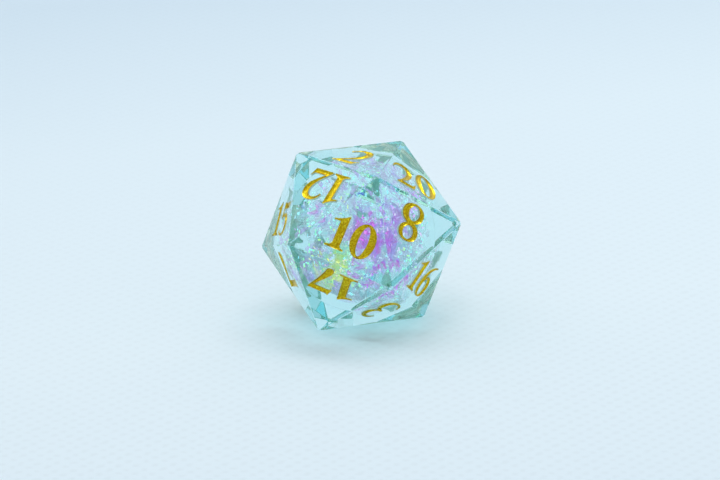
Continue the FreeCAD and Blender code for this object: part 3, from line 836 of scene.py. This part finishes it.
def table():
    """A flat cloth of pale stitches, staged under the die."""
    material, tree, out = empty_material("pale_table")
    place = add(tree, "ShaderNodeTexCoord")
    cloud = add(tree, "ShaderNodeTexNoise", Vector=place.outputs["Object"], Scale=6.0, Detail=2.0)
    apart = add(tree, "ShaderNodeSeparateXYZ", Vector=place.outputs["Object"])
    depth = add(tree, "ShaderNodeMapRange", Value=apart.outputs["Y"], From_Min=-0.12, From_Max=0.14)
    # painted shade: the cloth's colour darkens towards the back
    painted_back_shade = ramp(tree, depth.outputs["Result"], [(0.0, mixed(223, 241, 254)), (0.45, mixed(227, 243, 253)),
                                                (0.72, mixed(220, 237, 248)), (1.0, mixed(203, 223, 238))])
    patchy = ramp(tree, cloud.outputs["Fac"], [(0.3, (0.985, 0.99, 0.995, 1)), (0.7, (1, 1, 1, 1))])
    tone = add(tree, "ShaderNodeMix", {"data_type": "RGBA", "blend_type": "MULTIPLY"}, _0=1.0,
               _6=painted_back_shade.outputs["Color"], _7=patchy.outputs["Color"])
    # the weave: dips where both waves are high or both are low, so every second row is half a stitch on
    turned = add(tree, "ShaderNodeMapping", Vector=place.outputs["Object"])
    turned.inputs["Rotation"].default_value = (0.0, 0.0, CLOTH_TURN)
    fuzz = add(tree, "ShaderNodeTexNoise", Vector=place.outputs["Object"], Scale=500.0, Detail=2.0)
    jitter = add(tree, "ShaderNodeMath", {"operation": "MULTIPLY_ADD"}, _0=fuzz.outputs["Fac"], _1=4.0,
                 _2=-2.0)
    rows = add(tree, "ShaderNodeSeparateXYZ", Vector=turned.outputs["Vector"])
    waves = []
    for way, stitch in (("X", STITCH_LENGTH), ("Y", STITCH_WIDTH)):
        turns = add(tree, "ShaderNodeMath", {"operation": "MULTIPLY_ADD"}, _0=rows.outputs[way],
                    _1=2 * math.pi / stitch, _2=jitter.outputs[0])
        waves.append(add(tree, "ShaderNodeMath", {"operation": "SINE"}, _0=turns.outputs[0]).outputs[0])
    stitch = add(tree, "ShaderNodeMath", {"operation": "MULTIPLY"}, _0=waves[0], _1=waves[1])
    stitch = add(tree, "ShaderNodeMath", {"operation": "MAXIMUM"}, _0=stitch.outputs[0], _1=0.0)
    # painted shade: the dips darken the cloth's colour, most at the front, and also make a faint bump
    near = add(tree, "ShaderNodeMapRange", Value=apart.outputs["Y"], From_Min=-0.03, From_Max=0.06,
               To_Min=-0.038, To_Max=-0.012)
    dip_and_shade = add(tree, "ShaderNodeMath", {"operation": "MULTIPLY"}, _0=stitch.outputs[0], _1=near.outputs[0])
    dip_and_shade = add(tree, "ShaderNodeMath", {"operation": "ADD"}, _0=dip_and_shade.outputs[0], _1=1.0)
    woven = add(tree, "ShaderNodeVectorMath", {"operation": "SCALE"}, _0=tone.outputs[2],
                Scale=dip_and_shade.outputs[0])
    bump = add(tree, "ShaderNodeBump", Height=dip_and_shade.outputs[0], Strength=0.1, Distance=0.0001)
    body = add(tree, "ShaderNodeBsdfPrincipled", Base_Color=woven.outputs["Vector"],
               Normal=bump.outputs["Normal"])
    body.inputs["Roughness"].default_value = 0.8
    tree.links.new(body.outputs[0], out.inputs["Surface"])
    mesh = bmesh.new()
    bmesh.ops.create_grid(mesh, x_segments=1, y_segments=1, size=TABLE_HALF)
    data = bpy.data.meshes.new("table_top")
    mesh.to_mesh(data)
    mesh.free()
    data.transform(Matrix.Translation((CENTRE.x, CENTRE.y, low.z - TABLE_GAP)))
    data.materials.append(material)
    top = bpy.data.objects.new("table_top", data)
    bpy.context.scene.collection.objects.link(top)
    return top


table_top = table()
print("table top:", [round(v, 2) for v in table_top.dimensions], "m")

# %% [markdown]
# ## The lamps
#
# A long soft lamp hangs above, a little behind the die and to the right. Two weaker ones stand further
# back, left and right, and light the faces that look away from it. A small one in front and to the left
# puts the glints on the gold. A lamp's distance and size together set how soft its shadow is.


# %% The lamps
def lamp(name, offset, width, depth, watts, colour):
    """A soft lamp that faces the die."""
    light = bpy.data.lights.new(name, "AREA")
    light.shape = "RECTANGLE"
    light.size, light.size_y, light.energy, light.color = width, depth, watts, colour
    holder = bpy.data.objects.new(name, light)
    holder.location = CENTRE + Vector(offset)
    holder.rotation_euler = (-Vector(offset)).to_track_quat("-Z", "Y").to_euler()
    holder.visible_transmission = False  # a lamp seen through the resin would be a hard white patch
    bpy.context.scene.collection.objects.link(holder)
    print(name, watts, "W")


lamp("overhead_softbox", (0.13, 0.15, 0.45), 0.42, 0.10, 0.84, (1.0, 1.0, 0.98))
lamp("back_left_softbox", (-0.24, 0.26, 0.42), 0.40, 0.40, 0.34, (1.0, 0.99, 0.97))
lamp("back_right_softbox", (0.29, 0.26, 0.35), 0.30, 0.30, 0.14, (1.0, 0.99, 0.97))
lamp("front_spot", (-0.12, -0.05, 0.50), 0.08, 0.08, 0.14, (1.0, 1.0, 0.98))

# %% [markdown]
# ## The sky
#
# The sky is two things. It lights the scene evenly, as a bright room would. And rays that see it
# directly, in a reflection or through the resin meet a pale grey-blue room instead, a little darker at
# the front, so no horizon shows and the resin has something to bend.

# %% The sky
sky = bpy.data.worlds.new("pale_sky")
bpy.context.scene.world = sky
sky.use_nodes = True
tree = sky.node_tree
tree.nodes.clear()
path = add(tree, "ShaderNodeLightPath")
seen = add(tree, "ShaderNodeMath", {"operation": "MAXIMUM"}, _0=path.outputs["Is Camera Ray"],
           _1=path.outputs["Is Glossy Ray"])
seen = add(tree, "ShaderNodeMath", {"operation": "MAXIMUM"}, _0=seen.outputs[0],
           _1=path.outputs["Is Transmission Ray"])
lit = add(tree, "ShaderNodeBackground", Color=(0.985, 0.99, 0.995, 1), Strength=0.55)
heading = add(tree, "ShaderNodeTexCoord")
towards_back = add(tree, "ShaderNodeVectorMath", {"operation": "DOT_PRODUCT"},
                   _0=heading.outputs["Generated"], _1=(0.27, 0.96, 0.0))
round_the_room = add(tree, "ShaderNodeMapRange", Value=towards_back.outputs["Value"], From_Min=-1.0)
room = ramp(tree, round_the_room.outputs[0],
            [(0.0, mixed(196, 208, 214)), (0.3, mixed(202, 216, 222)), (0.6, mixed(224, 239, 248))])
shown = add(tree, "ShaderNodeBackground", Color=room.outputs["Color"], Strength=1.0)
both = add(tree, "ShaderNodeMixShader", _0=seen.outputs[0], _1=lit.outputs[0], _2=shown.outputs[0])
tree.links.new(both.outputs[0], tree.nodes.new("ShaderNodeOutputWorld").inputs["Surface"])
print("sky:", sky.name, "with", len(tree.nodes), "nodes")

# %% [markdown]
# ## The camera
#
# The camera is a long lens, low and a little to the left. Its place is in corner radii of the die, so
# it would keep the same view of a larger die. Light that runs round inside the die turns many corners
# before it leaves, so its paths are let grow long.

# %% The camera
VIEW_AZIMUTH = math.radians(16.53)
VIEW_DOWN = math.radians(20.46)
VIEW_ROLL = math.radians(-1.1)
VIEW_DISTANCE = 32.07 * CORNER_RADIUS
AIM_LEFT, AIM_DOWN = 0.006 * CORNER_RADIUS, 0.046 * CORNER_RADIUS
LENS, SENSOR_WIDTH = 168.35, 36.0  # both in millimetres, as Blender wants them
BOUNCES = 24
forward = Vector((math.sin(VIEW_AZIMUTH) * math.cos(VIEW_DOWN), math.cos(VIEW_AZIMUTH) * math.cos(VIEW_DOWN),
                  -math.sin(VIEW_DOWN)))
level = forward.cross(Vector((0, 0, 1))).normalized()
right = Matrix.Rotation(-VIEW_ROLL, 3, forward) @ level
up = right.cross(forward)
aim = CENTRE - right * AIM_LEFT - up * AIM_DOWN
lens = bpy.data.cameras.new("long_lens")
lens.sensor_width, lens.lens = SENSOR_WIDTH, LENS
lens.clip_start, lens.clip_end = 0.01, 20.0
camera = bpy.data.objects.new("long_lens", lens)
turn = Matrix((right, up, -forward)).transposed()
camera.matrix_world = Matrix.Translation(aim - forward * VIEW_DISTANCE) @ turn.to_4x4()
bpy.context.scene.collection.objects.link(camera)
bpy.context.scene.camera = camera
bpy.context.scene.view_settings.view_transform = "Standard"

light_paths = bpy.context.scene.cycles
light_paths.max_bounces = light_paths.glossy_bounces = light_paths.transmission_bounces = BOUNCES
light_paths.transparent_max_bounces = BOUNCES
print("camera right", [round(v, 4) for v in right], "up", [round(v, 4) for v in up])
